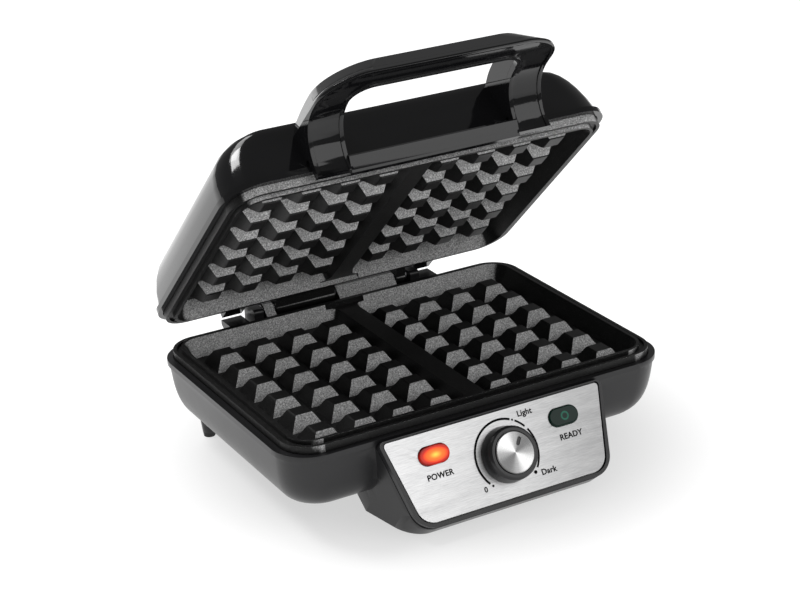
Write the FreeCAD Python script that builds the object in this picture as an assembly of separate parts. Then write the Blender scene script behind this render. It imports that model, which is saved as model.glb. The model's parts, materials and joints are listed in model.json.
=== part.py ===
"""Two-slice waffle maker, standing open with its lid part raised.

Millimetres. +X runs to the user's right, +Y from the control panel back to the
hinge, +Z up. The origin is on the table under the middle of the open appliance.

Inside this file everything is first built closed, with y = 0 at the front edge
of the cooking plates. The lid is then turned about the hinge to its rest angle,
and every piece is moved back by FRONT_TO_ORIGIN.
"""
import FreeCAD, Part
import math
import os
from FreeCAD import Vector

# ---- driving dimensions -------------------------------------------------
PLATE_WIDTH = 250.0
PLATE_DEPTH = 181.0
PLATE_CORNER = 19.0
LOWER_CREST_Z = 62.0          # top of the lower plate's outer rim above the table
CREST_GAP = 4.0               # between the two outer rims when the lid is shut
HINGE_BEHIND_PLATE = 7.9      # hinge axis behind the plates' rear edges
REST_OPENING = 43.5           # degrees the lid stands open
FRONT_TO_ORIGIN = 84.0        # plate front edge to the part's origin, along y

STUD_PITCH = 25.3
STUD_COLUMNS = 4
STUD_ROWS = 6
STUD_TOP = 10.7
STUD_HEIGHT = 8.5
STUD_SLOPE = 0.6              # sideways run of a stud's wall per mm of height
STUD_RECESS = 1.2             # stud tips below the outer rim
FIRST_COLUMN = 20.65          # middle of the plate to the nearest stud column
LAST_ROW = 30.45              # plate's rear edge to the nearest stud row

PANEL_TILT = 30.0             # degrees that the control panel leans back
PANEL_LENGTH = 50.6           # steel fascia along the slope
PANEL_TOP_HALF = 73.5
PANEL_FOOT_HALF = 62.3
KNOB_X = 1.2
KNOB_DOWN = 25.6              # knob axis below the fascia's top edge
LENS_X = 44.3
LENS_DOWN = 13.5

# ---- derived places -----------------------------------------------------
HINGE_Y = PLATE_DEPTH + HINGE_BEHIND_PLATE
HINGE_Z = LOWER_CREST_Z + CREST_GAP / 2
UPPER_CREST_Z = LOWER_CREST_Z + CREST_GAP
HALF = PLATE_WIDTH / 2
PANEL_TOP = Vector(0, -7.0, LOWER_CREST_Z - 6.6)
TILT = math.radians(PANEL_TILT)
PANEL_UP = Vector(0, math.sin(TILT), math.cos(TILT))
PANEL_IN = Vector(0, math.cos(TILT), -math.sin(TILT))
WALL = 2.5
X, Y, Z = Vector(1, 0, 0), Vector(0, 1, 0), Vector(0, 0, 1)

nodes = {}


def keep(name, *solids, lid=False):
    """Store a node, turned with the lid if it rides on it."""
    shape = solids[0] if len(solids) == 1 else Part.makeCompound(list(solids))
    shape = shape.copy()
    if lid:
        shape.rotate(Vector(0, HINGE_Y, HINGE_Z), X, -REST_OPENING)
    shape.translate(Vector(0, -FRONT_TO_ORIGIN, 0))
    nodes[name] = shape


# ---- building blocks ----------------------------------------------------
def outline(corners, radii, at=None):
    """Closed wire through planar corners, each rounded by its own radius."""
    count = len(corners)
    starts, ends, middles = [], [], []
    for i, corner in enumerate(corners):
        before = (corners[i - 1] - corner).normalize()
        after = (corners[(i + 1) % count] - corner).normalize()
        half_turn = before.getAngle(after) / 2
        cut = radii[i] / math.tan(half_turn)
        bisector = (before + after).normalize()
        starts.append(corner + before * cut)
        ends.append(corner + after * cut)
        middles.append(corner + bisector * (radii[i] / math.sin(half_turn) - radii[i]))
    edges = []
    for i in range(count):
        edges.append(Part.Arc(starts[i], middles[i], ends[i]).toShape())
        edges.append(Part.LineSegment(ends[i], starts[(i + 1) % count]).toShape())
    return Part.Wire(edges)


def rectangle(half_width, front, rear, radius, z):
    """Rounded rectangle wire at height z, centred on x = 0."""
    corners = [Vector(-half_width, front, z), Vector(half_width, front, z),
               Vector(half_width, rear, z), Vector(-half_width, rear, z)]
    return outline(corners, [radius] * 4)


def slab(half_width, front, rear, radius, low, high):
    """Rounded-rectangle block between two heights."""
    face = Part.Face(rectangle(half_width, front, rear, radius, low))
    return face.extrude(Vector(0, 0, high - low))


def loft(wires, ruled=False):
    return Part.makeLoft(wires, True, ruled)


def box(low, high):
    size = high - low
    return Part.makeBox(size.x, size.y, size.z, low)


def rod(start, end, radius):
    return Part.makeCylinder(radius, (end - start).Length, start, end - start)


def tube_along(points, radius, bend):
    """Round bar through points, every corner turned with the same bend radius."""
    edges, here = [], points[0]
    for i in range(1, len(points) - 1):
        back = (points[i - 1] - points[i]).normalize()
        ahead = (points[i + 1] - points[i]).normalize()
        half_turn = back.getAngle(ahead) / 2
        cut = bend / math.tan(half_turn)
        middle = (back + ahead).normalize() * (bend / math.sin(half_turn) - bend)
        start, end = points[i] + back * cut, points[i] + ahead * cut
        edges.append(Part.LineSegment(here, start).toShape())
        edges.append(Part.Arc(start, points[i] + middle, end).toShape())
        here = end
    edges.append(Part.LineSegment(here, points[-1]).toShape())
    path = Part.Wire(edges)
    profile = Part.Wire(Part.Circle(points[0], points[1] - points[0], radius).toShape())
    return path.makePipeShell([profile], True, False)


def pan_screw(head, tip, thread_radius=1.9, head_radius=3.6, head_height=2.2):
    """Cross-head screw: the head's underside at head, the shank down to tip."""
    along = (tip - head).normalize()
    top = head - along * head_height
    body = rod(head, tip, thread_radius).fuse(rod(top, head, head_radius))
    side = along.cross(X if abs(along.x) < 0.9 else Y).normalize()
    other = along.cross(side)
    for arm, across in ((side, other), (other, side)):
        corner = top - along * 0.5 - arm * (head_radius * 0.6) - across * 0.45
        edges = [corner, corner + arm * (head_radius * 1.2),
                 corner + arm * (head_radius * 1.2) + across * 0.9, corner + across * 0.9, corner]
        slot = Part.Face(Part.makePolygon(edges)).extrude(along * 1.6)
        body = body.cut(slot)
    return body


def panel_point(x, down, depth=0.0):
    """Point on the control panel: x, distance down the slope, depth behind the steel."""
    return PANEL_TOP + X * x - PANEL_UP * down + PANEL_IN * depth


def panel_outline(top, foot, top_half, foot_half, top_radius, foot_radius, depth):
    corners = [panel_point(-top_half, top, depth), panel_point(top_half, top, depth),
               panel_point(foot_half, foot, depth), panel_point(-foot_half, foot, depth)]
    return outline(corners, [top_radius, top_radius, foot_radius, foot_radius])


def panel_plate(edge, low, high, grow=0.0):
    """Sheet in the steel fascia's outline, grown all round, between two depths."""
    wire = panel_outline(-grow, PANEL_LENGTH + grow, PANEL_TOP_HALF + grow, PANEL_FOOT_HALF + grow,
                         2.2 + edge, 11.0 + edge, low)
    return Part.Face(wire).extrude(PANEL_IN * (high - low))


def capsule(x, down, length, height, low, high):
    """Lens-shaped block with round ends, lying along x on the panel."""
    reach = length / 2 - height / 2
    middle = panel_point(x, down, low)
    up, side = PANEL_UP * (height / 2), X * reach
    end = X * (length / 2)
    wire = Part.Wire([
        Part.LineSegment(middle - side + up, middle + side + up).toShape(),
        Part.Arc(middle + side + up, middle + end, middle + side - up).toShape(),
        Part.LineSegment(middle + side - up, middle - side - up).toShape(),
        Part.Arc(middle - side - up, middle - end, middle - side + up).toShape()])
    return Part.Face(wire).extrude(PANEL_IN * (high - low))


# ---- cooking plates -----------------------------------------------------
RIB_RISE = 1.5                # inner sealing rib above the outer rim
CAVITY_EDGE = 6.6             # outer rim to the cavity's mouth
DIVIDER_HALF = 5.0
DIVIDER_DROP = 1.6
FLOOR_DEPTH = STUD_RECESS + STUD_HEIGHT
BACK_THICKNESS = 3.0
PLATE_BOSS = 10.4             # screw bosses behind a plate
TRAY_SHEET = 0.8
STACK = FLOOR_DEPTH + BACK_THICKNESS + PLATE_BOSS + TRAY_SHEET   # rim to housing boss
KNUCKLE_RADIUS = 4.2
PIN_RADIUS = 2.0
RUNNING_CLEARANCE = 0.05
STRAP_SPOTS = [(-55.0, 33.0), (55.0, 33.0)]
ELEMENT_RADIUS = 3.25
SCREW_SPOTS = [(sx * 88.0, y) for sx in (-1, 1) for y in (20.0, 161.0)]


def stud(x, y):
    """Square tapered stud pointing up, its tip STUD_RECESS below z = 0."""
    def square(half, z):
        return Part.makePolygon([Vector(x - half, y - half, z), Vector(x + half, y - half, z),
                                 Vector(x + half, y + half, z), Vector(x - half, y + half, z),
                                 Vector(x - half, y - half, z)])
    chamfer = 0.7
    tip, shoulder = -STUD_RECESS, -STUD_RECESS - chamfer
    foot = -FLOOR_DEPTH - 0.5
    half = STUD_TOP / 2
    body = loft([square(half + STUD_SLOPE * (tip - foot), foot),
                 square(half + STUD_SLOPE * (tip - shoulder), shoulder)], ruled=True)
    cap = loft([square(half + STUD_SLOPE * (tip - shoulder), shoulder),
                square(half - 0.3, tip)], ruled=True)
    return body.fuse(cap)


def cavity(side):
    """Sloped-wall pocket for one waffle, right side for +1 and left for -1."""
    def mouth(inset, z):
        inner, outer = DIVIDER_HALF + inset, HALF - CAVITY_EDGE - inset
        low, high = sorted((side * inner, side * outer))
        front, rear = CAVITY_EDGE + inset, PLATE_DEPTH - CAVITY_EDGE - inset
        corners = [Vector(low, front, z), Vector(high, front, z),
                   Vector(high, rear, z), Vector(low, rear, z)]
        wide, tight = max(13.0 - inset, 3.0), max(7.0 - inset * 0.7, 2.0)
        radii = [wide, tight, tight, wide] if side < 0 else [tight, wide, wide, tight]
        return outline(corners, radii)
    slope = STUD_SLOPE
    return loft([mouth(-0.6 * slope, RIB_RISE + 1.0), mouth(slope * FLOOR_DEPTH, -FLOOR_DEPTH)])


def plate_at_zero(knuckles):
    """Cooking plate with its outer rim at z = 0 and its studs pointing up."""
    back = -FLOOR_DEPTH - BACK_THICKNESS
    body = slab(HALF, 0, PLATE_DEPTH, PLATE_CORNER, back, 0)
    rib_out = CAVITY_EDGE - 2.0
    rib = slab(HALF - rib_out, rib_out, PLATE_DEPTH - rib_out, PLATE_CORNER - rib_out + 1.5, -1, RIB_RISE)
    body = body.fuse(rib)
    groove = slab(HALF - 2.2, 2.2, PLATE_DEPTH - 2.2, PLATE_CORNER - 2.2, -1.4, 5)
    groove = groove.cut(slab(HALF - rib_out, rib_out, PLATE_DEPTH - rib_out,
                             PLATE_CORNER - rib_out + 1.5, -3, 6))
    body = body.cut(groove)
    bridge = box(Vector(-DIVIDER_HALF - 9, CAVITY_EDGE - 0.3, -DIVIDER_DROP),
                 Vector(DIVIDER_HALF + 9, PLATE_DEPTH - CAVITY_EDGE + 0.3, 6))
    body = body.cut(bridge).cut(cavity(-1)).cut(cavity(1))
    studs = []
    for side in (-1, 1):
        for column in range(STUD_COLUMNS):
            for row in range(STUD_ROWS):
                studs.append(stud(side * (FIRST_COLUMN + column * STUD_PITCH),
                                  PLATE_DEPTH - LAST_ROW - row * STUD_PITCH))
    body = body.fuse(studs)
    for x, y in SCREW_SPOTS:
        boss = rod(Vector(x, y, back), Vector(x, y, back - PLATE_BOSS), 5.0)
        body = body.fuse(boss).cut(rod(Vector(x, y, back - PLATE_BOSS), Vector(x, y, back), 1.7))
    for x, y in STRAP_SPOTS:
        boss = rod(Vector(x, y, back), Vector(x, y, back - 2 * ELEMENT_RADIUS), 4.0)
        body = body.fuse(boss).cut(rod(Vector(x, y, back - 2 * ELEMENT_RADIUS), Vector(x, y, back), 1.2))
    axis = Vector(0, HINGE_Y, CREST_GAP / 2)
    for low, high, bore in knuckles:
        barrel = rod(Vector(low, axis.y, axis.z), Vector(high, axis.y, axis.z), KNUCKLE_RADIUS)
        edge = [Vector(low, PLATE_DEPTH - 0.5, -8.5), Vector(low, HINGE_Y + 2.2, axis.z - 3.4),
                Vector(low, HINGE_Y - 2.6, axis.z + 3.1), Vector(low, PLATE_DEPTH - 0.5, -0.6)]
        web = Part.Face(Part.makePolygon(edge + edge[:1])).extrude(Vector(high - low, 0, 0))
        body = body.fuse(barrel).fuse(web)
        body = body.cut(rod(Vector(low - 1, axis.y, axis.z), Vector(high + 1, axis.y, axis.z), bore))
    return body.removeSplitter()


LONG_KNUCKLE = (0.9, 43.6)
SHORT_KNUCKLE = (45.4, 52.2)
FREE_BORE = PIN_RADIUS + RUNNING_CLEARANCE


def mirrored(span):
    return (-span[1], -span[0])


def build_plates():
    lower = plate_at_zero([LONG_KNUCKLE + (PIN_RADIUS,), mirrored(SHORT_KNUCKLE) + (PIN_RADIUS,)])
    lower.translate(Vector(0, 0, LOWER_CREST_Z))
    keep("lower_plate", lower)
    upper = plate_at_zero([LONG_KNUCKLE + (FREE_BORE,), mirrored(SHORT_KNUCKLE) + (FREE_BORE,)])
    upper.rotate(Vector(0, 0, 0), Y, 180)
    upper.translate(Vector(0, 0, UPPER_CREST_Z))
    keep("upper_plate", upper, lid=True)


PIN_REACH = 56.5              # half the hinge pin's length


def build_hinge():
    reach = PIN_REACH
    pin = rod(Vector(-reach, HINGE_Y, HINGE_Z), Vector(reach, HINGE_Y, HINGE_Z), PIN_RADIUS)
    groove_x = SHORT_KNUCKLE[1] + 0.6
    for side in (-1, 1):
        ring = rod(Vector(side * groove_x, HINGE_Y, HINGE_Z),
                   Vector(side * (groove_x + 0.9), HINGE_Y, HINGE_Z), PIN_RADIUS + 1)
        core = rod(Vector(side * (groove_x - 0.1), HINGE_Y, HINGE_Z),
                   Vector(side * (groove_x + 1.0), HINGE_Y, HINGE_Z), PIN_RADIUS - 0.5)
        pin = pin.cut(ring.cut(core))
    keep("hinge_pin", pin)
    clips = []
    for side in (-1, 1):
        low = Vector(side * (groove_x + 0.1), HINGE_Y, HINGE_Z)
        high = Vector(side * (groove_x + 0.8), HINGE_Y, HINGE_Z)
        clip = rod(low, high, 3.6).cut(rod(low - X * side, high + X * side, PIN_RADIUS - 0.5))
        mouth = box(Vector(min(low.x, high.x) - 1, HINGE_Y - 1.3, HINGE_Z - 6),
                    Vector(max(low.x, high.x) + 1, HINGE_Y + 1.3, HINGE_Z))
        clips.append(clip.cut(mouth))
    keep("hinge_clips", *clips)


# ---- shells -------------------------------------------------------------
# Each section is: height from the outer rim, half width, front, rear, corner radius.
TUB_SECTIONS = [(6.0, 128.8, -3.2, 183.2, 22.8), (20.0, 127.4, -1.8, 181.8, 22.4),
                (31.0, 125.0, 0.8, 179.6, 21.6), (38.0, 121.2, 4.6, 176.0, 20.0),
                (43.0, 115.0, 10.8, 170.0, 17.0), (45.6, 108.0, 17.8, 163.0, 13.0)]
LID_SECTIONS = [(6.0, 127.6, -3.8, 183.4, 24.2), (17.0, 126.2, -1.6, 181.8, 23.8),
                (25.0, 123.8, 0.0, 179.4, 23.0), (31.0, 120.6, 1.1, 176.2, 21.8),
                (35.5, 116.6, 2.0, 172.2, 20.0), (38.6, 111.8, 2.9, 167.6, 17.4),
                (40.0, 106.6, 4.0, 163.0, 14.4)]
FLANGE_HALF = 130.0
LID_FLANGE_HALF = 128.8
FLANGE_TOP = 4.5              # flange's face below the plate's outer rim
FLANGE_THICKNESS = 3.4
WEB_NOTCH = 53.4              # half width of the gap in the rear flanges for the hinge webs
GUARD_HALF = 61.0             # half width of the wall behind the hinge
GUARD_REAR = 7.9              # its rear face behind the hinge axis
GUARD_TOP = 2.4               # its top above the hinge axis


def shell_stack(sections, inset, bottom_inset):
    """Closed form through the sections, each drawn in by inset; the lid's is flat-sided."""
    wires = []
    for drop, half, front, rear, radius in sections:
        level = -drop if drop < sections[-1][0] else -drop + bottom_inset
        wires.append(rectangle(half - inset, front + inset, rear - inset, radius - inset * 0.8, level))
    return loft(wires, ruled=sections is LID_SECTIONS)


def shell_at_zero(sections, flange_half, overhang):
    """Open moulding hanging below z = 0, with a flange round its mouth."""
    front, rear = -overhang, PLATE_DEPTH + overhang - 1.0
    outer = shell_stack(sections, 0.0, 0.0)
    flange = slab(flange_half, front, rear, 24.0, -FLANGE_TOP - FLANGE_THICKNESS, -FLANGE_TOP)
    return outer.fuse(flange)


def shell_hollow(sections):
    """What is cut out of a shell: its inside, the plate's seat and a notch for the hinge webs."""
    seat_depth = FLOOR_DEPTH + BACK_THICKNESS
    seat = slab(HALF + 0.5, -0.5, PLATE_DEPTH + 0.5, PLATE_CORNER + 0.5, -seat_depth, 1)
    notch = box(Vector(-WEB_NOTCH, PLATE_DEPTH - 4, -9.5), Vector(WEB_NOTCH, HINGE_Y + 3, 1))
    inside = shell_stack(sections, WALL, WALL)
    mouth = slab(HALF - 1.0, 1.0, PLATE_DEPTH - 1.0, PLATE_CORNER - 1, -seat_depth - 2, -5)
    return inside.fuse(mouth).fuse(seat).fuse(notch)


BLOCK_REAR_DEPTH = 50.0       # how far the control box runs back behind the panel
FRAME = 2.9                   # width of the plastic frame round the steel
BEZEL_BACK = 3.6


def block_form(inset, front_depth):
    """Wedge-shaped control box behind the panel, its sides flaring backwards."""
    def section(depth):
        top = -1.5 + inset
        foot = PANEL_LENGTH + FRAME - inset + 0.18 * depth
        top_half = PANEL_TOP_HALF + FRAME + 0.067 * depth - inset
        foot_half = PANEL_FOOT_HALF + FRAME + 0.028 * depth - inset
        return panel_outline(top, foot, top_half, foot_half, 3.0, 14.0 - inset, depth)
    form = loft([section(front_depth), section(BLOCK_REAR_DEPTH - inset)], ruled=True)
    room = box(Vector(-100, -60, BLOCK_BOTTOM + inset), Vector(100, 30 - inset, LOWER_CREST_Z - 4.6))
    return form.common(room)


BLOCK_BOTTOM = 0.9
STOP_LUG = (63.0, 77.0)


def rods_at(spots, low, high, radius):
    return [rod(Vector(x, y, low), Vector(x, y, high), radius) for x, y in spots]


def build_lower_housing():
    body = shell_at_zero(TUB_SECTIONS, FLANGE_HALF, 4.0)
    hollow = shell_hollow(TUB_SECTIONS)
    for shape in (body, hollow):
        shape.translate(Vector(0, 0, LOWER_CREST_Z))
    body = body.fuse(block_form(0.0, BEZEL_BACK))
    for side in (-1, 1):
        low_x, high_x = sorted((side * STOP_LUG[0], side * STOP_LUG[1]))
        edge = [(PLATE_DEPTH - 2, HINGE_Z - 9), (PLATE_DEPTH - 2, HINGE_Z - 15),
                (HINGE_Y + 4, HINGE_Z - 11), (HINGE_Y + 9.5, HINGE_Z - 7), (HINGE_Y + 9.5, HINGE_Z - 4),
                (HINGE_Y - 3, HINGE_Z - 4), (PLATE_DEPTH + 2, HINGE_Z - 6.6)]
        corners = [Vector(low_x, y, z) for y, z in edge]
        lug = Part.Face(Part.makePolygon(corners + corners[:1])).extrude(X * (high_x - low_x))
        body = body.fuse(lug)
    guard_rear = HINGE_Y + GUARD_REAR
    ledge_top = LOWER_CREST_Z - FLANGE_TOP - FLANGE_THICKNESS
    body = body.cut(hollow).cut(block_form(WALL, BEZEL_BACK - 1))
    body = body.fuse(box(Vector(-GUARD_HALF, PLATE_DEPTH + 0.6, ledge_top - 4.0),
                         Vector(GUARD_HALF, guard_rear, ledge_top - 1.7)))
    body = body.fuse(box(Vector(-GUARD_HALF, guard_rear - 3.0, ledge_top - 4.0),
                         Vector(GUARD_HALF, guard_rear, HINGE_Z + GUARD_TOP)))
    for side in (-1, 1):
        low_x, high_x = sorted((side * (PIN_REACH - 2.2), side * GUARD_HALF))
        cheek = box(Vector(low_x, PLATE_DEPTH + 0.6, ledge_top - 4.0),
                    Vector(high_x, guard_rear, HINGE_Z + GUARD_TOP + 1.4))
        tops = [e for e in cheek.Edges if e.CenterOfMass.z > HINGE_Z + 3 and abs(e.tangentAt(0).x) > 0.9]
        body = body.fuse(cheek.makeFillet(2.4, tops))
    body = body.cut(rod(Vector(-GUARD_HALF + 2, HINGE_Y, HINGE_Z), Vector(GUARD_HALF - 2, HINGE_Y, HINGE_Z), 2.3))
    floor = LOWER_CREST_Z - TUB_SECTIONS[-1][0] + WALL
    boss_top = LOWER_CREST_Z - STACK
    for boss in rods_at(SCREW_SPOTS, floor - 1.0, boss_top, 5.0):
        body = body.fuse(boss)
    for cutter in rods_at(SCREW_SPOTS, floor - 6, boss_top + 1, 2.2):
        body = body.cut(cutter)
    for cutter in rods_at(SCREW_SPOTS, floor - 8, floor + 3, 4.0):
        body = body.cut(cutter)
    body = body.cut(bezel_form())
    gland_room = Vector(GLAND_AT.x, PLATE_DEPTH - 14, GLAND_AT.z)
    body = body.cut(rod(gland_room, gland_room + Y * 20, GLAND_RADIUS))
    keep("lower_housing", body.removeSplitter())


# ---- control panel ------------------------------------------------------
STEEL_GAP = 0.7               # dark groove between the steel and its frame
GROOVE_DEPTH = 1.6
LENS_LENGTH = 20.3
LENS_HEIGHT = 11.4
LENS_FIT = 0.1                # clearance round a lens in its hole


def bezel_form():
    """Outer form of the plastic frame round the steel."""
    edge = panel_outline(-1.5, PANEL_LENGTH + FRAME, PANEL_TOP_HALF + FRAME,
                         PANEL_FOOT_HALF + FRAME, 3.0, 14.0, -0.5)
    return Part.Face(edge).extrude(PANEL_IN * (BEZEL_BACK + 0.5))


def lens_block(side, grow, low, high):
    """Capsule in a signal lens's outline, grown all round, between two depths."""
    return capsule(side * LENS_X, LENS_DOWN, LENS_LENGTH + 2 * grow, LENS_HEIGHT + 2 * grow, low, high)


def build_panel():
    frame = bezel_form().cut(panel_plate(0.0, -1.0, 0.8, grow=STEEL_GAP))
    frame = frame.cut(panel_plate(0.0, 0.5, GROOVE_DEPTH, grow=STEEL_GAP).cut(
        panel_plate(0.0, 0.4, GROOVE_DEPTH + 0.1, grow=-0.9)))
    shaft_hole = rod(panel_point(KNOB_X, KNOB_DOWN, -1), panel_point(KNOB_X, KNOB_DOWN, 8), 5.2)
    lens_holes = [lens_block(side, LENS_FIT, -2, 8) for side in (-1, 1)]
    frame = frame.cut(shaft_hole)
    steel = panel_plate(0.0, 0.0, 0.8).cut(shaft_hole)
    for hole in lens_holes:
        frame = frame.cut(hole)
        steel = steel.cut(hole)
    keep("control_bezel", frame)
    keep("control_fascia", steel)
    holders = []
    for name, side in (("power", -1), ("ready", 1)):
        lens = lens_block(side, 0.0, -1.4, 9.0)
        flange = lens_block(side, 1.5, BEZEL_BACK, BEZEL_BACK + 1.4)
        hollow = lens_block(side, -1.5, 0.6, 10)
        lens = lens.makeFillet(1.1, [e for e in lens.Edges if on_panel_depth(e, -1.4)])
        keep(name + "_lens", lens.fuse(flange).cut(hollow))
        glow = rod(panel_point(side * LENS_X - 6, LENS_DOWN, 5.0),
                   panel_point(side * LENS_X + 6, LENS_DOWN, 5.0), 2.6)
        keep(name + "_lamp", glow)
        plug = lens_block(side, -1.6, 7.6, 12.0)
        rear = lens_block(side, -0.2, 9.0, 12.0)
        holders.append(plug.fuse(rear))
    keep("lamp_holders", *holders)


def on_panel_depth(edge, depth):
    """True when every end of the edge lies at that depth behind the steel."""
    return all(abs((v.Point - PANEL_TOP).dot(PANEL_IN) - depth) < 1e-4 for v in edge.Vertexes)


def build_thermostat():
    def axis(depth):
        return panel_point(KNOB_X, KNOB_DOWN, depth)
    body = rod(axis(9.0), axis(24.0), 15.0)
    neck = rod(axis(6.0), axis(9.0), 5.0)
    body = body.fuse(neck).cut(rod(axis(5.0), axis(20.0), 3.0 + RUNNING_CLEARANCE))
    keep("thermostat_body", body)
    plate = Part.Face(panel_outline(KNOB_DOWN - 12, KNOB_DOWN + 12, 30.0, 30.0, 2, 2, 7.5))
    bracket = plate.extrude(PANEL_IN * 1.5).cut(rod(axis(5), axis(12), 5.2))
    for side in (-1, 1):
        post = rod(panel_point(side * 26, KNOB_DOWN, BEZEL_BACK), panel_point(side * 26, KNOB_DOWN, 7.5), 2.5)
        bracket = bracket.fuse(post)
    keep("thermostat_bracket", bracket)
    shaft = rod(axis(-7.0), axis(19.5), 3.0)
    keep("thermostat_shaft", shaft)


KNOB_SKIRT = 16.8
KNOB_SHOULDER = 15.9
KNOB_HEIGHT = 9.8
KNOB_LIFT = 0.5
CAP_RADIUS = 12.4
CAP_RECESS = 1.4
CAP_PROUD = 1.0
POINTER_ANGLE = 34.0          # clockwise from the dial's top, in the rest pose
POINTER_RADIUS = 7.0
POINTER_LENGTH = 5.4
POINTER_WIDTH = 2.3


def build_knob():
    def axis(height):
        return panel_point(KNOB_X, KNOB_DOWN, -height)
    seat = KNOB_HEIGHT - CAP_RECESS
    top = KNOB_HEIGHT + CAP_PROUD
    profile = [(0.0, KNOB_LIFT), (KNOB_SKIRT, KNOB_LIFT), (KNOB_SHOULDER, KNOB_HEIGHT - 1.4),
               (KNOB_SHOULDER - 1.4, KNOB_HEIGHT), (CAP_RADIUS + 0.4, KNOB_HEIGHT),
               (CAP_RADIUS + 0.4, seat), (0.0, seat)]
    points = [axis(height) + X * radius for radius, height in profile]
    body = Part.Face(Part.makePolygon(points + points[:1])).revolve(axis(0), PANEL_IN, 360)
    rim = [e for e in body.Edges if abs(circle_radius(e) - KNOB_SHOULDER) < 0.05]
    body = body.makeFillet(1.0, rim)
    cap = rod(axis(seat), axis(top), CAP_RADIUS)
    cap = cap.makeFillet(0.6, [e for e in cap.Edges if on_panel_depth(e, -top) and len(e.Vertexes) == 1])
    turn = math.radians(POINTER_ANGLE)
    outward = PANEL_UP * math.cos(turn) + X * math.sin(turn)
    across = PANEL_UP * -math.sin(turn) + X * math.cos(turn)
    half = POINTER_WIDTH / 2
    near = axis(seat) + outward * (POINTER_RADIUS - POINTER_LENGTH / 2 + half)
    far = axis(seat) + outward * (POINTER_RADIUS + POINTER_LENGTH / 2 - half)
    slot = Part.Wire([
        Part.LineSegment(near + across * half, far + across * half).toShape(),
        Part.Arc(far + across * half, far + outward * half, far - across * half).toShape(),
        Part.LineSegment(far - across * half, near - across * half).toShape(),
        Part.Arc(near - across * half, near - outward * half, near + across * half).toShape()])
    slot = Part.Face(slot)
    cap = cap.cut(slot.extrude(-PANEL_IN * 4))
    body = body.fuse(slot.extrude(-PANEL_IN * (CAP_RECESS + CAP_PROUD - 0.5)))
    body = body.cut(rod(axis(-1), axis(7), 3.0))
    keep("knob_body", body)
    keep("knob_cap", cap)


def circle_radius(edge):
    """Radius of a circular edge, or -1 for any other edge."""
    if not isinstance(edge.Curve, Part.Circle):
        return -1.0
    return edge.Curve.Radius


# ---- heating ------------------------------------------------------------


CUTOUT_X = 0.0
CUTOUT_Y = 88.0


def element_at_zero():
    """Tubular heater, bent to a rounded M lying against the plate's back at z = 0."""
    z = -ELEMENT_RADIUS
    points = [(-14, 168), (-14, 132), (-98, 132), (-98, 44), (98, 44), (98, 132), (14, 132), (14, 168)]
    return tube_along([Vector(x, y, z) for x, y in points], ELEMENT_RADIUS, 12.0)


def heater_parts(prefix, lid):
    """Element, its clamps, the reflector tray and their screws, for one half."""
    back = FLOOR_DEPTH + BACK_THICKNESS
    element = element_at_zero()
    straps, screws = [], []
    low = -2 * ELEMENT_RADIUS
    for x, y in STRAP_SPOTS:
        strap = box(Vector(x - 6, y - 4.5, low - 1.4), Vector(x + 6, y + 17, low))
        straps.append(strap.cut(rod(Vector(x, y, low - 3), Vector(x, y, low + 1), 1.5)))
        screws.append(pan_screw(Vector(x, y, low - 1.4), Vector(x, y, -0.5), 1.2, 2.6, 1.8))
    tray = slab(112, 12, 169, 12, -PLATE_BOSS - TRAY_SHEET, -PLATE_BOSS)
    lip = slab(112, 12, 169, 12, -PLATE_BOSS - TRAY_SHEET, -PLATE_BOSS + 1.8)
    tray = tray.fuse(lip.cut(slab(112 - TRAY_SHEET, 12 + TRAY_SHEET, 169 - TRAY_SHEET, 11.2, -20, 0)))
    for x, y in SCREW_SPOTS:
        tray = tray.cut(rod(Vector(x, y, -14), Vector(x, y, -5), 2.2))
    tray = tray.cut(box(Vector(-24, 150, -12), Vector(24, 172, -8)))
    tray = tray.cut(rod(Vector(CUTOUT_X, CUTOUT_Y, -14), Vector(CUTOUT_X, CUTOUT_Y, -5), 11.0))
    cutout = rod(Vector(CUTOUT_X, CUTOUT_Y, -5.0), Vector(CUTOUT_X, CUTOUT_Y, 0), 8.0)
    cutout = cutout.fuse(rod(Vector(CUTOUT_X, CUTOUT_Y, -10.0), Vector(CUTOUT_X, CUTOUT_Y, -5), 6.5))
    for side in (-1, 1):
        tab_at = CUTOUT_X + side * 3.5
        cutout = cutout.fuse(box(Vector(tab_at - 0.4, CUTOUT_Y - 2.4, -16), Vector(tab_at + 0.4, CUTOUT_Y + 2.4, -9)))
    shapes = {"_heating_element": [element], "_element_straps": straps, "_strap_screws": screws,
              "_reflector": [tray], "_thermal_cutout": [cutout]}
    for suffix, solids in shapes.items():
        for solid in solids:
            if lid:
                solid.rotate(Vector(0, 0, 0), Y, 180)
                solid.translate(Vector(0, 0, UPPER_CREST_Z + back))
            else:
                solid.translate(Vector(0, 0, LOWER_CREST_Z - back))
        keep(prefix + suffix, *solids, lid=lid)


def build_heating():
    heater_parts("lower", lid=False)
    heater_parts("upper", lid=True)


def build_plate_screws():
    floor = TUB_SECTIONS[-1][0] - WALL - 3.0
    lower, upper, plugs = [], [], []
    for x, y in SCREW_SPOTS:
        lower.append(pan_screw(Vector(x, y, LOWER_CREST_Z - floor),
                               Vector(x, y, LOWER_CREST_Z - STACK + 8), 1.7, 3.4))
        upper.append(pan_screw(Vector(x, y, UPPER_CREST_Z + STACK + 4),
                               Vector(x, y, UPPER_CREST_Z + STACK - 8), 1.7, 3.4))
        top = UPPER_CREST_Z + LID_SECTIONS[-1][0]
        plugs.append(rod(Vector(x, y, top - 3.0), Vector(x, y, top + 0.2), 4.15))
    keep("lower_plate_screws", *lower)
    keep("upper_plate_screws", *upper, lid=True)
    keep("lid_screw_plugs", *plugs, lid=True)


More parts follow.
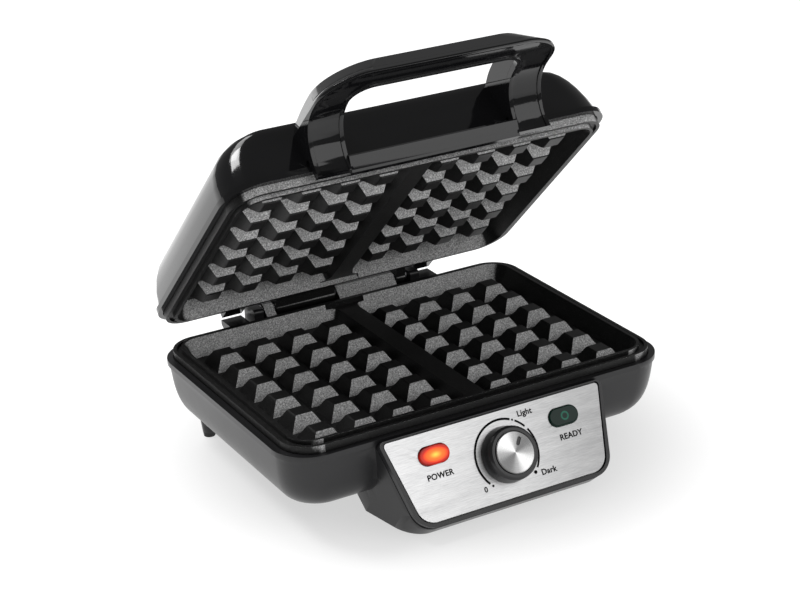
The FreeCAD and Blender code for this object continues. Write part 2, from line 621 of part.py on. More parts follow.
# ---- lid ----------------------------------------------------------------
HANDLE_SCREWS = [(x, z) for x in (-66.0, 66.0) for z in (21.0, 32.0)]
HANDLE_SCREW_SEAT = 5.5       # inner face of the bosses behind the handle


def build_lid():
    body = shell_at_zero(LID_SECTIONS, LID_FLANGE_HALF, 5.0)
    outside = body.copy()
    body = body.cut(shell_hollow(LID_SECTIONS))
    lugs = []
    for side in (-1, 1):
        low_x, high_x = sorted((side * STOP_LUG[0], side * STOP_LUG[1]))
        lug = box(Vector(low_x, PLATE_DEPTH + 2, -11.5), Vector(high_x, HINGE_Y + 7.0, -1.9))
        edges = [e for e in lug.Edges if e.CenterOfMass.y > HINGE_Y + 6.9 and abs(e.tangentAt(0).x) > 0.9]
        lugs.append(lug.makeFillet(2.6, [e for e in edges if e.CenterOfMass.z < -10]))
    body = body.fuse(lugs)
    top = -LID_SECTIONS[-1][0]
    for x, y in SCREW_SPOTS:
        ear = rod(Vector(x, y, -STACK), Vector(x, y, top + 1), 6.4)
        body = body.fuse(ear)
        body = body.cut(rod(Vector(x, y, -STACK - 4), Vector(x, y, top - 1), 4.2))
        body = body.cut(rod(Vector(x, y, -STACK - 5), Vector(x, y, -STACK + 1), 2.2))
    for x, z in HANDLE_SCREWS:
        level = CREST_GAP - z
        boss = rod(Vector(x, -6, level), Vector(x, HANDLE_SCREW_SEAT, level), 4.2)
        body = body.fuse(boss.common(outside))
        body = body.cut(rod(Vector(x, -8, level), Vector(x, HANDLE_SCREW_SEAT + 1, level), 2.0))
    body = body.removeSplitter()
    body.rotate(Vector(0, 0, 0), Y, 180)
    body.translate(Vector(0, 0, UPPER_CREST_Z))
    keep("lid_housing", body, lid=True)


# ---- feet and inlet -----------------------------------------------------
REAR_FOOT = (106.0, 164.0)
FRONT_PAD = (50.0, 4.0)
GLAND_RADIUS = 7.0
GLAND_AT = Vector(70.0, 165.0, LOWER_CREST_Z - 28.0)
GLAND_BORE = 3.6


def build_feet():
    pegs, pads = [], []
    tub = shell_stack(TUB_SECTIONS, 0.0, 0.0)
    tub.translate(Vector(0, 0, LOWER_CREST_Z))
    for side in (-1, 1):
        x, y = side * REAR_FOOT[0], REAR_FOOT[1]
        peg = Part.makeCone(4.2, 7.6, 30.0, Vector(x, y, 3.0), Z).cut(tub)
        pegs.append(peg.cut(rod(Vector(x, y, 2.0), Vector(x, y, 6.0), 2.0)))
        tip = Part.makeCone(3.6, 4.2, 3.0, Vector(x, y, 0), Z)
        pads.append(tip.fuse(rod(Vector(x, y, 2.9), Vector(x, y, 6.0), 2.0)))
        pads.append(rod(Vector(side * FRONT_PAD[0], FRONT_PAD[1], 0),
                        Vector(side * FRONT_PAD[0], FRONT_PAD[1], BLOCK_BOTTOM), 6.0))
    keep("rear_feet", *pegs)
    keep("foot_pads", *pads)


def build_gland():
    start = Vector(GLAND_AT.x, 176.2, GLAND_AT.z)
    body = rod(start, start + Y * 9.0, GLAND_RADIUS - 0.05)
    collar = rod(start + Y * 5.9, start + Y * 8.0, GLAND_RADIUS + 2.0)
    gland = body.fuse(collar).cut(rod(start - Y, start + Y * 12, GLAND_BORE))
    keep("cord_gland", gland)


# ---- wiring -------------------------------------------------------------
TERMINAL_AT = Vector(70.0, 128.0, LOWER_CREST_Z - 43.1)


def build_wiring():
    corner = TERMINAL_AT
    block = box(corner - Vector(16, 8, 0), corner + Vector(16, 8, 11))
    screws = []
    for step in (-10, 0, 10):
        middle = corner + Vector(step, 0, 0)
        block = block.cut(rod(middle + Vector(0, -9, 5), middle + Vector(0, 9, 5), 1.6))
        block = block.cut(rod(middle + Z * 4, middle + Z * 12, 1.5))
        screws.append(rod(middle + Z * 6.8, middle + Z * 10.4, 1.5))
    keep("terminal_block", block)
    keep("terminal_screws", *screws)
    level = corner.z + 5
    runs = [[(corner.x - 10, corner.y - 2, level), (corner.x - 10, 20, level), (-20, 20, level), (-20, 6, level)],
            [(corner.x, corner.y - 2, level), (corner.x, 30, level), (20, 30, level), (20, 6, level)],
            [(corner.x + 10, corner.y - 2, level), (corner.x + 10, 60, level),
             (corner.x + 10, 60, level + 6), (corner.x - 6, 60, level + 6)]]
    wires = [tube_along([Vector(*p) for p in run], 1.2, 2.8) for run in runs]
    keep("internal_wiring", *wires)


# ---- handle -------------------------------------------------------------
# Side profile of the arms and grip, y and z with the lid shut and z = 0 at the lower rim.
HANDLE_FRONT = [(-9.4, 3.0), (-10.9, 16.1), (-19.8, 28.2), (-41.1, 32.6), (-70.0, 34.5)]
HANDLE_BACK = [(-70.0, 45.8), (-54.6, 46.1), (-34.0, 47.4), (-12.0, 47.4), (4.2, 41.6)]
GRIP_REACH = -65.2            # front crest of the grip
CREST_LEVEL = 34.2            # height of that crest
GRIP_LEAN = 0.89              # run back per mm of height above the crest
SIDE_LEAN = 0.62              # run inwards of the handle's sides above the crest
HANDLE_HALF = 77.5            # half width over the arms
HANDLE_CORNER = 27.0          # grip's outer corners, seen from above
ARM_INNER = 55.0
FINGER_END = -46.8            # front end of the finger opening
FINGER_CORNER = 13.0
COVER_THICKNESS = 4.0
RIM_WIDTH = 2.6               # raised edge round the cover's recessed face
RIM_DEPTH = 0.7


def handle_plan(inset):
    """Arms and grip drawn in by inset: upright to the crest, then leaning in, with the opening cut."""
    def outer(z, above):
        half = HANDLE_HALF - inset - SIDE_LEAN * above
        front = GRIP_REACH + inset + GRIP_LEAN * above
        corners = [Vector(-half, 12, z), Vector(-half, front, z), Vector(half, front, z), Vector(half, 12, z)]
        corner = HANDLE_CORNER - inset + 0.3 * above
        return outline(corners, [0.5, corner, corner, 0.5])
    top = 60.0
    upright = Part.Face(outer(0.0, 0.0)).extrude(Z * CREST_LEVEL)
    leaning = loft([outer(CREST_LEVEL, 0.0), outer(top, top - CREST_LEVEL)], ruled=True)
    half, corner = ARM_INNER + inset, FINGER_CORNER + inset
    inner = [Vector(-half, 14, 0), Vector(-half, FINGER_END - inset, 0),
             Vector(half, FINGER_END - inset, 0), Vector(half, 14, 0)]
    opening = Part.Face(outline(inner, [0.5, corner, corner, 0.5])).extrude(Z * top)
    return upright.fuse(leaning).cut(opening)


def smooth_edge(points):
    """Curve through y-z points at the left end of the handle's width."""
    curve = Part.BSplineCurve()
    curve.interpolate([Vector(-100, y, z) for y, z in points])
    return curve.toShape()


def straight_edges(points):
    corners = [Vector(-100, y, z) for y, z in points]
    return [Part.LineSegment(a, b).toShape() for a, b in zip(corners, corners[1:])]


def across_handle(edges):
    """Extrude a closed y-z outline right across the handle's width."""
    return Part.Face(Part.Wire(edges)).extrude(X * 200)


def inside_front(depth):
    """The front profile moved back into the handle, square to itself."""
    moved = []
    for i, (y, z) in enumerate(HANDLE_FRONT):
        before, after = HANDLE_FRONT[max(i - 1, 0)], HANDLE_FRONT[min(i + 1, len(HANDLE_FRONT) - 1)]
        run, rise = after[0] - before[0], after[1] - before[1]
        length = math.hypot(run, rise)
        moved.append((y + rise / length * depth, z - run / length * depth))
    return moved


def front_band(depth):
    """Layer of the handle just behind its front face."""
    seam = inside_front(depth)
    ends = straight_edges([HANDLE_FRONT[-1], seam[-1]]) + straight_edges([seam[0], HANDLE_FRONT[0]])
    return across_handle([smooth_edge(HANDLE_FRONT), ends[0], smooth_edge(seam), ends[1]])


def build_handle():
    root = [HANDLE_BACK[-1], (10.0, 36.0), (10.0, 3.0), HANDLE_FRONT[0]]
    whole = across_handle([smooth_edge(HANDLE_FRONT), *straight_edges([HANDLE_FRONT[-1], HANDLE_BACK[0]]),
                           smooth_edge(HANDLE_BACK), *straight_edges(root)])
    form = whole.common(handle_plan(0.0))
    lid_form = shell_at_zero(LID_SECTIONS, LID_FLANGE_HALF, 5.0)
    lid_form = lid_form.fuse(slab(LID_FLANGE_HALF, -5.0, PLATE_DEPTH, 24.0, -12.0, 2.0))
    lid_form.rotate(Vector(0, 0, 0), Y, 180)
    lid_form.translate(Vector(0, 0, CREST_GAP))
    band = front_band(COVER_THICKNESS)
    band = band.fuse(box(Vector(-90, -30, 0), Vector(90, 10, HANDLE_FRONT[0][1] + 3.6)))
    cover = form.common(band)
    shell = form.cut(band).cut(lid_form)
    cover = cover.cut(front_band(RIM_DEPTH).common(handle_plan(RIM_WIDTH)))
    lip_end = ARM_INNER + 1
    edge = [Vector(-lip_end, -7.6, 1.5), Vector(-lip_end, -11.6, 10.2), Vector(-lip_end, -10.6, 11.4),
            Vector(-lip_end, -4.0, 11.4), Vector(-lip_end, -4.0, 1.5)]
    lip = Part.Face(Part.makePolygon(edge + edge[:1])).extrude(X * (2 * lip_end))
    cover = cover.fuse(lip).cut(lid_form)
    for x, z in HANDLE_SCREWS:
        shell = shell.cut(rod(Vector(x, -10.0, z), Vector(x, 6, z), 1.7))
    for shape in (cover, shell):
        shape.translate(Vector(0, 0, LOWER_CREST_Z))
    screws = [pan_screw(Vector(x, HANDLE_SCREW_SEAT, LOWER_CREST_Z + z), Vector(x, -6.5, LOWER_CREST_Z + z),
                        1.7, 3.4) for x, z in HANDLE_SCREWS]
    keep("handle_screws", *screws, lid=True)
    keep("handle_cover", cover, lid=True)
    keep("handle_shell", shell, lid=True)


def main():
    build_plates()
    build_hinge()
    build_lower_housing()
    build_panel()
    build_thermostat()
    build_knob()
    build_heating()
    build_plate_screws()
    build_lid()
    build_feet()
    build_gland()
    build_wiring()
    build_handle()
    os.makedirs("parts", exist_ok=True)
    for name in os.listdir("parts"):
        if name.endswith(".step") and name[:-5] not in nodes:
            os.remove(os.path.join("parts", name))
    overall = FreeCAD.BoundBox()
    for name, shape in nodes.items():
        shape.exportStep("parts/%s.step" % name)
        overall.add(shape.optimalBoundingBox(True, False))
        print("%-24s solids %2d valid %s volume %9.1f" % (name, len(shape.Solids), shape.isValid(), shape.Volume))
    print("box", overall)


main()
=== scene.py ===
import bpy
import bmesh
import json
import math
from mathutils import Matrix, Vector


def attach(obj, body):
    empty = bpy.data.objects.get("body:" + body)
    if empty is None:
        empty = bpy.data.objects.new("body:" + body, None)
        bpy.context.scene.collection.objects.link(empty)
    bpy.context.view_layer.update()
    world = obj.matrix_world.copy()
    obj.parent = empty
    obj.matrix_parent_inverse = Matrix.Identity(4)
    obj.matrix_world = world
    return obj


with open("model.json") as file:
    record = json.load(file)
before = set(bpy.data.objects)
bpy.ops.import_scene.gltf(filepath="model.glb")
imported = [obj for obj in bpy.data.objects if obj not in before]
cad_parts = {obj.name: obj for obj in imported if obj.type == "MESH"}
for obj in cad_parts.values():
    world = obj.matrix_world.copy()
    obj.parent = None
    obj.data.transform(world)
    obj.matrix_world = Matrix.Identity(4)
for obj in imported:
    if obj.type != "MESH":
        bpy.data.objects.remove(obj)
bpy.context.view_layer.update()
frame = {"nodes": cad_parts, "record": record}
nodes = frame["nodes"]
scene = bpy.context.scene
MM = 0.001

# ---- places, in millimetres, the same as the CAD model's -----------------
FRONT_TO_ORIGIN = 84.0        # plates' front edge to the part's origin
CREST_Z = 62.0                # top of the lower plate's rim above the table
PANEL_TILT = math.radians(30.0)         # the panel's lean back from upright
PANEL_TOP = Vector((0, -7.0 - FRONT_TO_ORIGIN, CREST_Z - 6.6))
PANEL_UP = Vector((0, math.sin(PANEL_TILT), math.cos(PANEL_TILT)))
PANEL_OUT = Vector((0, -math.cos(PANEL_TILT), math.sin(PANEL_TILT)))
KNOB = (1.2, 25.6)            # knob axis: x, and distance down the panel
LENS_X, LENS_DOWN = 44.3, 13.5          # lamp lenses: from the middle, and down the panel
PANEL_HALF = 73.5             # half the steel's width at its top
HANDLE_SIDE = (0.0, -0.725, 0.688)      # along the open lid, from the hinge to the handle


def panel_point(x, down, out=0.0):
    """A point on the panel in metres: x, distance down the slope, height above the steel."""
    return (PANEL_TOP + Vector((x, 0, 0)) - PANEL_UP * down + PANEL_OUT * out) * MM


# ---- node helpers: n is a material's nodes, links its links ---------------
def new_material(name):
    """Material with a Principled shader; returns the material, its nodes, links and shader."""
    material = bpy.data.materials.new(name)
    material.use_nodes = True
    tree = material.node_tree
    shader = next(n for n in tree.nodes if n.type == "BSDF_PRINCIPLED")
    return material, tree.nodes, tree.links, shader


def coordinates(n, links, scale=(1, 1, 1)):
    """The object's own coordinates in metres, times a scale."""
    source = n.new("ShaderNodeTexCoord")
    mapping = n.new("ShaderNodeMapping")
    mapping.inputs["Scale"].default_value = scale
    links.new(source.outputs["Object"], mapping.inputs["Vector"])
    return mapping.outputs["Vector"]


def vector_step(n, links, operation, first, second=None):
    """Vector arithmetic on an output and, where needed, a constant; returns the node."""
    node = n.new("ShaderNodeVectorMath")
    node.operation = operation
    links.new(first, node.inputs[0])
    if second is not None:
        node.inputs[1].default_value = second
    return node


def number_step(n, links, operation, first, second):
    """Arithmetic on an output and a constant."""
    node = n.new("ShaderNodeMath")
    node.operation = operation
    links.new(first, node.inputs[0])
    node.inputs[1].default_value = second
    return node.outputs["Value"]


def blend(n, links, first, second, amount, mode="MIX"):
    """Mix two colours; amount is a number or an output."""
    node = n.new("ShaderNodeMixRGB")
    node.blend_type = mode
    links.new(first, node.inputs["Color1"])
    links.new(second, node.inputs["Color2"])
    if isinstance(amount, float):
        node.inputs["Fac"].default_value = amount
    else:
        links.new(amount, node.inputs["Fac"])
    return node.outputs["Color"]


def noise(n, links, vector, scale, detail=2.0, rough=0.5):
    """Noise in three dimensions, with scale cells to each unit of the vector."""
    node = n.new("ShaderNodeTexNoise")
    node.inputs["Scale"].default_value = scale
    node.inputs["Detail"].default_value = detail
    node.inputs["Roughness"].default_value = rough
    links.new(vector, node.inputs["Vector"])
    return node.outputs["Fac"]


def ramp(n, links, factor, stops, smooth=False):
    """Colour ramp over (place, grey or colour) stops."""
    node = n.new("ShaderNodeValToRGB")
    if smooth:
        node.color_ramp.interpolation = "EASE"
    elements = node.color_ramp.elements
    for index, (place, value) in enumerate(stops):
        element = elements[index] if index < 2 else elements.new(place)
        element.position = place
        colour = value if isinstance(value, tuple) else (value, value, value)
        element.color = (*colour, 1.0)
    links.new(factor, node.inputs["Fac"])
    return node.outputs["Color"]


def bump(n, links, height, strength, distance):
    """Relief from a height; distance is in metres."""
    node = n.new("ShaderNodeBump")
    node.inputs["Strength"].default_value = strength
    node.inputs["Distance"].default_value = distance
    links.new(height, node.inputs["Height"])
    return node.outputs["Normal"]


def distance_from(n, links, centre, scale):
    """Distance from a centre in metres, after scaling the three axes."""
    source = n.new("ShaderNodeTexCoord")
    shift = vector_step(n, links, "SUBTRACT", source.outputs["Object"], centre)
    stretch = vector_step(n, links, "MULTIPLY", shift.outputs["Vector"], scale)
    return vector_step(n, links, "LENGTH", stretch.outputs["Vector"]).outputs["Value"]


# ---- materials -----------------------------------------------------------
MOTTLE_SCALE = 14.0           # broad patches in the plastics
METAL_GRAIN = 900.0           # fine grain in the metals
SPECK_SCALE = 1250.0          # flecks in the plates' coat
GRAIN_RELIEF = 0.0002         # bump distance of the plastics and the coat, in metres
METAL_RELIEF = 0.0001         # the same for bare metal
STEEL_RELIEF = 0.00012        # and for the brushed panel
RING_SCALE = 2600.0           # turning marks on the knob's cap
LAMP_GLOW = 1.6               # emission behind the lit lens's middle
UNLIT_RING_PAINTED_GLOW = 0.12              # emission of the unlit lens and its faint ring


def shades(colour, low, high):
    """Two ramp stops: a colour darkened and lightened."""
    return [(0.3, tuple(c * low for c in colour)), (0.7, tuple(c * high for c in colour))]


def plastic(name, colour, roughness, spread, grain=900.0, relief=0.0, specular=0.5):
    """Moulded plastic: slight mottling in colour and gloss, and a fine surface grain."""
    material, n, links, shader = new_material(name)
    vector = coordinates(n, links)
    broad = noise(n, links, vector, MOTTLE_SCALE, 3.0)
    links.new(ramp(n, links, broad, shades(colour, 0.85, 1.15)), shader.inputs["Base Color"])
    links.new(ramp(n, links, broad, [(0.3, roughness - spread), (0.7, roughness + spread)]),
              shader.inputs["Roughness"])
    shader.inputs["Specular IOR Level"].default_value = specular
    if relief:
        fine = noise(n, links, vector, grain, 2.0)
        links.new(bump(n, links, fine, relief, GRAIN_RELIEF), shader.inputs["Normal"])
    return material


def metal(name, colour, roughness, spread):
    """Bare metal with a fine, even grain."""
    material, n, links, shader = new_material(name)
    fine = noise(n, links, coordinates(n, links), METAL_GRAIN, 3.0)
    links.new(ramp(n, links, fine, shades(colour, 0.86, 1.0)), shader.inputs["Base Color"])
    links.new(ramp(n, links, fine, [(0.3, roughness - spread), (0.7, roughness + spread)]),
              shader.inputs["Roughness"])
    shader.inputs["Metallic"].default_value = 1.0
    links.new(bump(n, links, fine, 0.1, METAL_RELIEF), shader.inputs["Normal"])
    return material


def nonstick_coat():
    """Cast plate under a dark coat; walls that face the handle's side get lighter flecks, painted light that
    stands in for the light those walls catch.
    """
    material, n, links, shader = new_material("nonstick")
    vector = coordinates(n, links)
    speck = noise(n, links, vector, SPECK_SCALE, 2.0, 0.7)
    broad = noise(n, links, vector, 30.0, 3.0)
    source = n.new("ShaderNodeTexCoord")
    # painted light: walls that face the handle's side are given lighter flecks, as if lit
    facing = vector_step(n, links, "DOT_PRODUCT", source.outputs["Normal"], HANDLE_SIDE)
    painted_light_mask = ramp(n, links, facing.outputs["Value"], [(0.73, 0.0), (0.84, 1.0)], smooth=True)
    plain = ramp(n, links, speck, [(0.36, 0.006), (0.60, 0.014), (0.74, 0.05)])
    painted_lit_flecks = ramp(n, links, speck, [(0.34, 0.20), (0.50, 0.40), (0.66, 0.80)])
    coat = blend(n, links, plain, painted_lit_flecks, painted_light_mask)
    patches = ramp(n, links, broad, [(0.3, 0.75), (0.7, 1.0)])
    links.new(blend(n, links, coat, patches, 0.5, "MULTIPLY"), shader.inputs["Base Color"])
    links.new(ramp(n, links, speck, [(0.3, 0.34), (0.7, 0.5)]), shader.inputs["Roughness"])
    shader.inputs["Specular IOR Level"].default_value = 0.25
    links.new(bump(n, links, speck, 0.3, GRAIN_RELIEF), shader.inputs["Normal"])
    return material


def brushed_fascia():
    """Stainless sheet brushed along its width; its colour is darkened towards the right end as painted
    shade.
    """
    material, n, links, shader = new_material("brushed_fascia")
    streaks = noise(n, links, coordinates(n, links, (1, 22, 22)), 130.0, 6.0, 0.65)
    broad = noise(n, links, coordinates(n, links, (1, 9, 9)), 16.0, 3.0)
    brushing = blend(n, links, streaks, broad, 0.35)
    grain = ramp(n, links, brushing, [(0.3, (0.42, 0.42, 0.425)), (0.7, (0.86, 0.86, 0.86))])
    place = n.new("ShaderNodeSeparateXYZ")
    links.new(coordinates(n, links), place.inputs["Vector"])
    span = n.new("ShaderNodeMapRange")
    span.inputs["From Min"].default_value = -PANEL_HALF * MM
    span.inputs["From Max"].default_value = PANEL_HALF * MM
    links.new(place.outputs["X"], span.inputs["Value"])
    # painted shade: the steel's colour darkens towards its right end, where less light falls
    shade = ramp(n, links, span.outputs["Result"], [(0.0, 1.0), (0.45, 0.86), (1.0, 0.58)], smooth=True)
    links.new(blend(n, links, grain, shade, 1.0, "MULTIPLY"), shader.inputs["Base Color"])
    links.new(ramp(n, links, brushing, [(0.3, 0.34), (0.7, 0.46)]), shader.inputs["Roughness"])
    shader.inputs["Metallic"].default_value = 1.0
    links.new(bump(n, links, streaks, 0.22, STEEL_RELIEF), shader.inputs["Normal"])
    return material


def lit_lens():
    """Red moulded lens with the neon lamp glowing behind it."""
    material, n, links, shader = new_material("red_lens")
    reach = distance_from(n, links, panel_point(-LENS_X + 0.6, LENS_DOWN + 0.2, 1.0), (78, 150, 150))
    colour = ramp(n, links, reach, [(0.0, (1.0, 0.34, 0.04)), (0.40, (0.95, 0.12, 0.008)),
                                    (0.70, (0.62, 0.016, 0.003)), (0.95, (0.10, 0.002, 0.002))], smooth=True)
    links.new(colour, shader.inputs["Base Color"])
    links.new(colour, shader.inputs["Emission Color"])
    strength = ramp(n, links, reach, [(0.0, 1.0), (0.45, 0.55), (0.8, 0.12), (1.0, 0.02)], smooth=True)
    links.new(number_step(n, links, "MULTIPLY", strength, LAMP_GLOW), shader.inputs["Emission Strength"])
    shader.inputs["Roughness"].default_value = 0.08
    shader.inputs["Specular IOR Level"].default_value = 0.25
    return material


def unlit_lens():
    """Dark green lens; the unlit lamp behind it shows as a faint ring, which is made to glow faintly as
    painted light.
    """
    material, n, links, shader = new_material("green_lens")
    reach = distance_from(n, links, panel_point(LENS_X + 0.5, LENS_DOWN, 1.0), (300, 300, 300))
    colour = ramp(n, links, reach, [(0.0, (0.001, 0.012, 0.008)), (0.45, (0.002, 0.02, 0.013)),
                                    (0.66, (0.012, 0.16, 0.10)), (0.92, (0.001, 0.014, 0.009))], smooth=True)
    links.new(colour, shader.inputs["Base Color"])
    links.new(colour, shader.inputs["Emission Color"])
    # painted light: the unlit lens and its ring glow faintly
    shader.inputs["Emission Strength"].default_value = UNLIT_RING_PAINTED_GLOW
    shader.inputs["Roughness"].default_value = 0.07
    shader.inputs["Specular IOR Level"].default_value = 0.18
    return material


def spun_cap():
    """Aluminium turned on a lathe: rings round the knob's axis, and two brighter wedges in its colour that
    are painted highlights.
    """
    material, n, links, shader = new_material("spun_aluminium")
    source = n.new("ShaderNodeTexCoord")
    offset = vector_step(n, links, "SUBTRACT", source.outputs["Object"], panel_point(*KNOB))
    around = vector_step(n, links, "CROSS_PRODUCT", offset.outputs["Vector"], PANEL_OUT).outputs["Vector"]
    links.new(around, shader.inputs["Tangent"])
    rings = n.new("ShaderNodeTexNoise")
    rings.noise_dimensions = "1D"
    rings.inputs["Scale"].default_value = RING_SCALE
    rings.inputs["Detail"].default_value = 3.0
    links.new(vector_step(n, links, "LENGTH", around).outputs["Value"], rings.inputs["W"])
    groove = rings.outputs["Fac"]
    sweep = vector_step(n, links, "NORMALIZE", around).outputs["Vector"]
    # painted highlight: two bright sectors in the cap's colour, where the lathe rings would catch the light
    painted_glint_axis = Vector((0.80, 0, 0)) + PANEL_UP * 0.60      # across the line of the bright sectors
    along = vector_step(n, links, "DOT_PRODUCT", sweep, painted_glint_axis).outputs["Value"]
    bow_tie = number_step(n, links, "POWER", along, 2.0)
    painted_highlight_sectors = ramp(n, links, bow_tie, [(0.0, 0.16), (0.45, 0.32), (1.0, 0.70)], smooth=True)
    turned = blend(n, links, painted_highlight_sectors, ramp(n, links, groove, [(0.3, 0.80), (0.7, 1.0)]), 1.0, "MULTIPLY")
    links.new(turned, shader.inputs["Base Color"])
    links.new(ramp(n, links, groove, [(0.3, 0.22), (0.7, 0.34)]), shader.inputs["Roughness"])
    shader.inputs["Metallic"].default_value = 1.0
    shader.inputs["Anisotropic"].default_value = 0.7
    return material


knob_black = plastic("knob_black", (0.010, 0.010, 0.011), 0.28, 0.03, 1600.0, 0.05, 0.45)
ink = plastic("printed_ink", (0.006, 0.006, 0.006), 0.8, 0.04, specular=0.05)

MATERIALS = {
    "gloss_plastic": plastic("gloss_black", (0.004, 0.004, 0.0045), 0.08, 0.015, specular=0.42),
    "housing_plastic": plastic("satin_black", (0.011, 0.011, 0.012), 0.30, 0.04, 1400.0, 0.05, 0.42),
    "nonstick_casting": nonstick_coat(),
    "brushed_steel": brushed_fascia(),
    "plated_steel": metal("plated_steel", (0.60, 0.60, 0.62), 0.30, 0.08),
    "element_sheath": metal("element_sheath", (0.16, 0.15, 0.14), 0.45, 0.08),
    "white_nylon": plastic("ivory_nylon", (0.62, 0.60, 0.54), 0.5, 0.05),
    "pad_rubber": plastic("pad_rubber", (0.02, 0.02, 0.02), 0.75, 0.05, 700.0, 0.2),
    "wire_insulation": plastic("wire_insulation", (0.36, 0.12, 0.05), 0.45, 0.05),
    "terminal_brass": metal("terminal_brass", (0.80, 0.60, 0.26), 0.3, 0.06),
    "lamp_glass": plastic("lamp_glass", (0.75, 0.74, 0.70), 0.1, 0.03),
    "red_lens": lit_lens(),
    "green_lens": unlit_lens(),
    "spun_aluminium": spun_cap(),
}
slots = {part["node"]: part["material_slot"] for part in frame["record"]["subparts"]}


# ---- finish of the CAD nodes --------------------------------------------
WELD_DISTANCE = 1e-6          # metres
BEVEL_STEPS = 3
# Width of the softened edges in millimetres, and the angle in degrees from which an edge counts.
BEVELS = {"lower_housing": (0.5, 28), "control_bezel": (0.45, 28), "handle_cover": (0.55, 28),
          "handle_shell": (1.6, 28), "lid_housing": (1.2, 26), "control_fascia": (0.15, 28),
          "upper_plate": (0.22, 28), "lower_plate": (0.22, 28), "knob_body": (0.25, 28),
          "rear_feet": (0.3, 28)}


def shade_smoothly(cad):
    """Drop the imported normals, so that the lid's flat bands blend into one another."""
    with bpy.context.temp_override(object=cad, active_object=cad, selected_objects=[cad]):
        bpy.ops.mesh.customdata_custom_splitnormals_clear()
    for face in cad.data.polygons:
        face.use_smooth = True


def finish_node(name, cad):
    """Give a CAD node its material and soften its sharp edges."""
    material = MATERIALS[slots[name]]
    for index in range(len(cad.data.materials)):
        cad.data.materials[index] = material
    if name not in BEVELS:
        return
    width, sharpest = BEVELS[name]
    if name == "lid_housing":
        shade_smoothly(cad)
    weld = cad.modifiers.new("weld", "WELD")
    weld.merge_threshold = WELD_DISTANCE
    bevel = cad.modifiers.new("edges", "BEVEL")
    bevel.width = width * MM
    bevel.segments = BEVEL_STEPS
    bevel.limit_method = "ANGLE"
    bevel.angle_limit = math.radians(sharpest)
    bevel.harden_normals = True
    bevel.use_clamp_overlap = True


for node_name, cad_object in nodes.items():
    finish_node(node_name, cad_object)
nodes["knob_body"].data.materials[0] = knob_black


# ---- printed dial marks and legends, in millimetres ----------------------
INK_LIFT = 0.12               # height of the print above the steel
DIAL_RING = 20.8              # radius of the marks round the knob
LEGEND_SIZE = 4.8             # font size
LETTER_SPACING = 1.06         # times the font's own
LETTER_WEIGHT = 0.028         # growth of the strokes, as a share of the font size


def ink_matrix(x, down):
    """Local x along the panel, y up its slope, z out of it; origin on the print."""
    matrix = Matrix((Vector((1, 0, 0)), PANEL_UP, PANEL_OUT)).transposed().to_4x4()
    matrix.translation = panel_point(x, down, INK_LIFT)
    return matrix


def print_on_panel(name, mesh, matrix):
    """Place a flat inked mesh on the panel, as part of the base."""
    mesh.materials.clear()
    mesh.materials.append(ink)
    printed = bpy.data.objects.new(name, mesh)
    scene.collection.objects.link(printed)
    printed.matrix_world = matrix
    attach(printed, "base")


def print_on_dial(name, bm):
    """The same for a mark drawn round the knob's axis."""
    mesh = bpy.data.meshes.new(name)
    bm.to_mesh(mesh)
    bm.free()
    print_on_panel(name, mesh, ink_matrix(*KNOB))


def arc_strip(name, width, start, end, steps):
    """Flat printed arc round the knob; angles in degrees clockwise from the top."""
    bm = bmesh.new()
    rows = []
    for i in range(steps + 1):
        angle = math.radians(start + (end - start) * i / steps)
        direction = Vector((math.sin(angle), math.cos(angle), 0))
        rows.append([bm.verts.new(direction * (DIAL_RING - width / 2) * MM),
                     bm.verts.new(direction * (DIAL_RING + width / 2) * MM)])
    for a, b in zip(rows, rows[1:]):
        bm.faces.new((a[0], b[0], b[1], a[1]))
    print_on_dial(name, bm)


def dot(name, size, angle, corners=20):
    """Round printed dot on the same ring."""
    bm = bmesh.new()
    turn = math.radians(angle)
    centre = Vector((math.sin(turn), math.cos(turn), 0)) * DIAL_RING
    ring = [bm.verts.new((centre + Vector((math.cos(t), math.sin(t), 0)) * size / 2) * MM)
            for t in (2 * math.pi * k / corners for k in range(corners))]
    bm.faces.new(ring)
    print_on_dial(name, bm)


def legend(text, x, down, size=LEGEND_SIZE):
    """Flat printed words in the built-in font, turned into a mesh."""
    curve = bpy.data.curves.new("legend_" + text, "FONT")
    curve.body = text
    curve.size = 1.0
    curve.align_x = "CENTER"
    curve.align_y = "CENTER"
    curve.space_character = LETTER_SPACING
    curve.offset = LETTER_WEIGHT
    draft = bpy.data.objects.new("draft_" + text, curve)
    scene.collection.objects.link(draft)
    bpy.context.view_layer.update()
    shape = bpy.data.meshes.new_from_object(draft.evaluated_get(bpy.context.evaluated_depsgraph_get()))
    shape.transform(Matrix.Scale(size * MM, 4))
    bpy.data.objects.remove(draft)
    print_on_panel("legend_" + text, shape, ink_matrix(x, down))


arc_strip("dial_arc_main", width=1.35, start=-130, end=23, steps=90)
arc_strip("dial_arc_short", width=1.2, start=32, end=52, steps=16)
arc_strip("dial_arc_right", width=1.2, start=58, end=126, steps=40)
dot("dial_dot_light", size=1.3, angle=27.5)
dot("dial_dot_dark", size=2.2, angle=134.6)
dot("dial_dot_off", size=1.5, angle=-136)

legend("POWER", -43.8, 25.9)
legend("READY", 45.9, 25.5)
legend("Light", 19.9, 5.0)
legend("Dark", 24.8, 41.6)
legend("0", -18.4, 41.6, size=4.4)

# ---- studio, in metres and watts -----------------------------------------
FLOOR_SIZE = 16.0
GLOW_NEAR_PAINTED_SHADE, GLOW_FAR = 0.60, 0.97        # the table's own light under the part and beyond it
LIGHT_AIM = Vector((0, 0, 0.13))
SURROUNDINGS = 0.22                     # strength of the even white light from all round


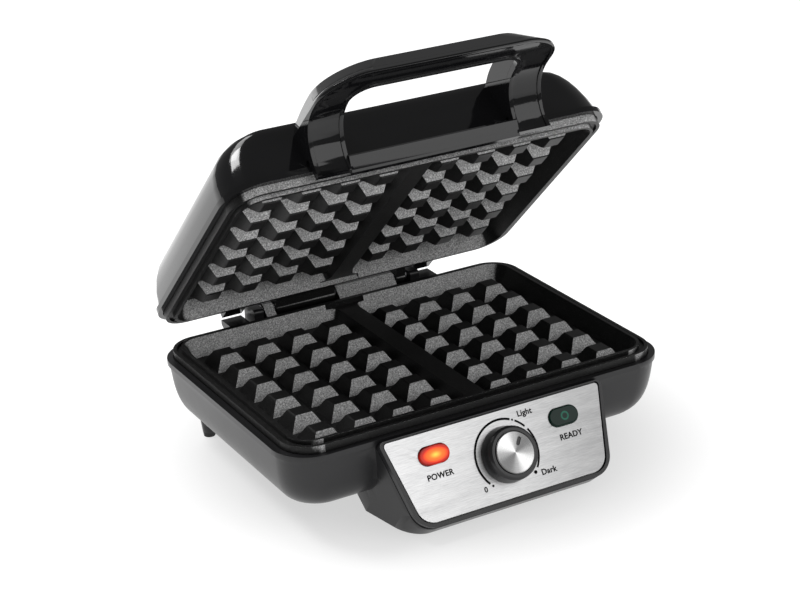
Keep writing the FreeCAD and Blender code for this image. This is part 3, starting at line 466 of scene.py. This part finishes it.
def studio_floor():
    """White table that shines by itself, less brightly under the part as painted shade, so that soft shadows
    show.
    """
    bpy.ops.mesh.primitive_plane_add(size=FLOOR_SIZE, location=(0, 0, 0))
    plane = bpy.context.object
    plane.name = "floor"
    material, n, links, shader = new_material("floor")
    reach = distance_from(n, links, (0, 0, 0), (1, 1, 1))
    # painted shade: the table's colour and its own light are both a little darker under the part
    links.new(ramp(n, links, reach, [(0.0, 0.30), (0.9, 0.34)]), shader.inputs["Base Color"])
    table_light_with_painted_shade = ramp(n, links, reach, [(0.10, GLOW_NEAR_PAINTED_SHADE), (0.22, GLOW_FAR)], smooth=True)
    links.new(table_light_with_painted_shade, shader.inputs["Emission Color"])
    shader.inputs["Emission Strength"].default_value = 1.0
    shader.inputs["Roughness"].default_value = 0.6
    shader.inputs["Specular IOR Level"].default_value = 0.2
    plane.data.materials.append(material)


def softbox(name, direction, distance, width, height, power):
    """Rectangular light that looks at the middle of the part from a direction."""
    light = bpy.data.lights.new(name, "AREA")
    light.shape = "RECTANGLE"
    light.size, light.size_y = width, height
    light.energy = power
    lamp = bpy.data.objects.new(name, light)
    aim = Vector(direction).normalized()
    lamp.location = LIGHT_AIM + aim * distance
    lamp.rotation_mode = "QUATERNION"
    lamp.rotation_quaternion = aim.to_track_quat("Z", "Y")
    scene.collection.objects.link(lamp)


studio_floor()
softbox("overhead", (-0.30, 0.75, 0.95), distance=1.8, width=1.2, height=0.6, power=12)
softbox("left_high", (-0.48, 0.40, 0.78), distance=1.3, width=0.34, height=0.42, power=7)
softbox("front_low", (0.35, -0.80, 0.50), distance=1.8, width=1.5, height=1.0, power=9)

world = bpy.data.worlds.new("studio")
world.use_nodes = True
background = next(n for n in world.node_tree.nodes if n.type == "BACKGROUND")
background.inputs["Color"].default_value = (1.0, 1.0, 1.0, 1.0)
background.inputs["Strength"].default_value = SURROUNDINGS
scene.world = world
scene.view_settings.view_transform = "Standard"

# ---- camera: angles in degrees, place and lens in millimetres ------------
AZIMUTH, ELEVATION, ROLL = (math.radians(angle) for angle in (-28.84, 22.78, -2.44))
CAMERA_PLACE = Vector((-555.2, -909.6 - FRONT_TO_ORIGIN, 511.1 + CREST_Z))
FOCAL_LENGTH, SENSOR_WIDTH = 91.27, 36.0

back = Vector((math.sin(AZIMUTH) * math.cos(ELEVATION), -math.cos(AZIMUTH) * math.cos(ELEVATION),
               math.sin(ELEVATION)))
level = Vector((math.cos(AZIMUTH), math.sin(AZIMUTH), 0))
upright = back.cross(level)
right = level * math.cos(ROLL) + upright * math.sin(ROLL)
upward = back.cross(right)
camera = bpy.data.objects.new("camera", bpy.data.cameras.new("camera"))
camera.data.lens = FOCAL_LENGTH
camera.data.sensor_width = SENSOR_WIDTH
pose = Matrix((right, upward, back)).transposed().to_4x4()
pose.translation = CAMERA_PLACE * MM
camera.matrix_world = pose
scene.collection.objects.link(camera)
scene.camera = camera
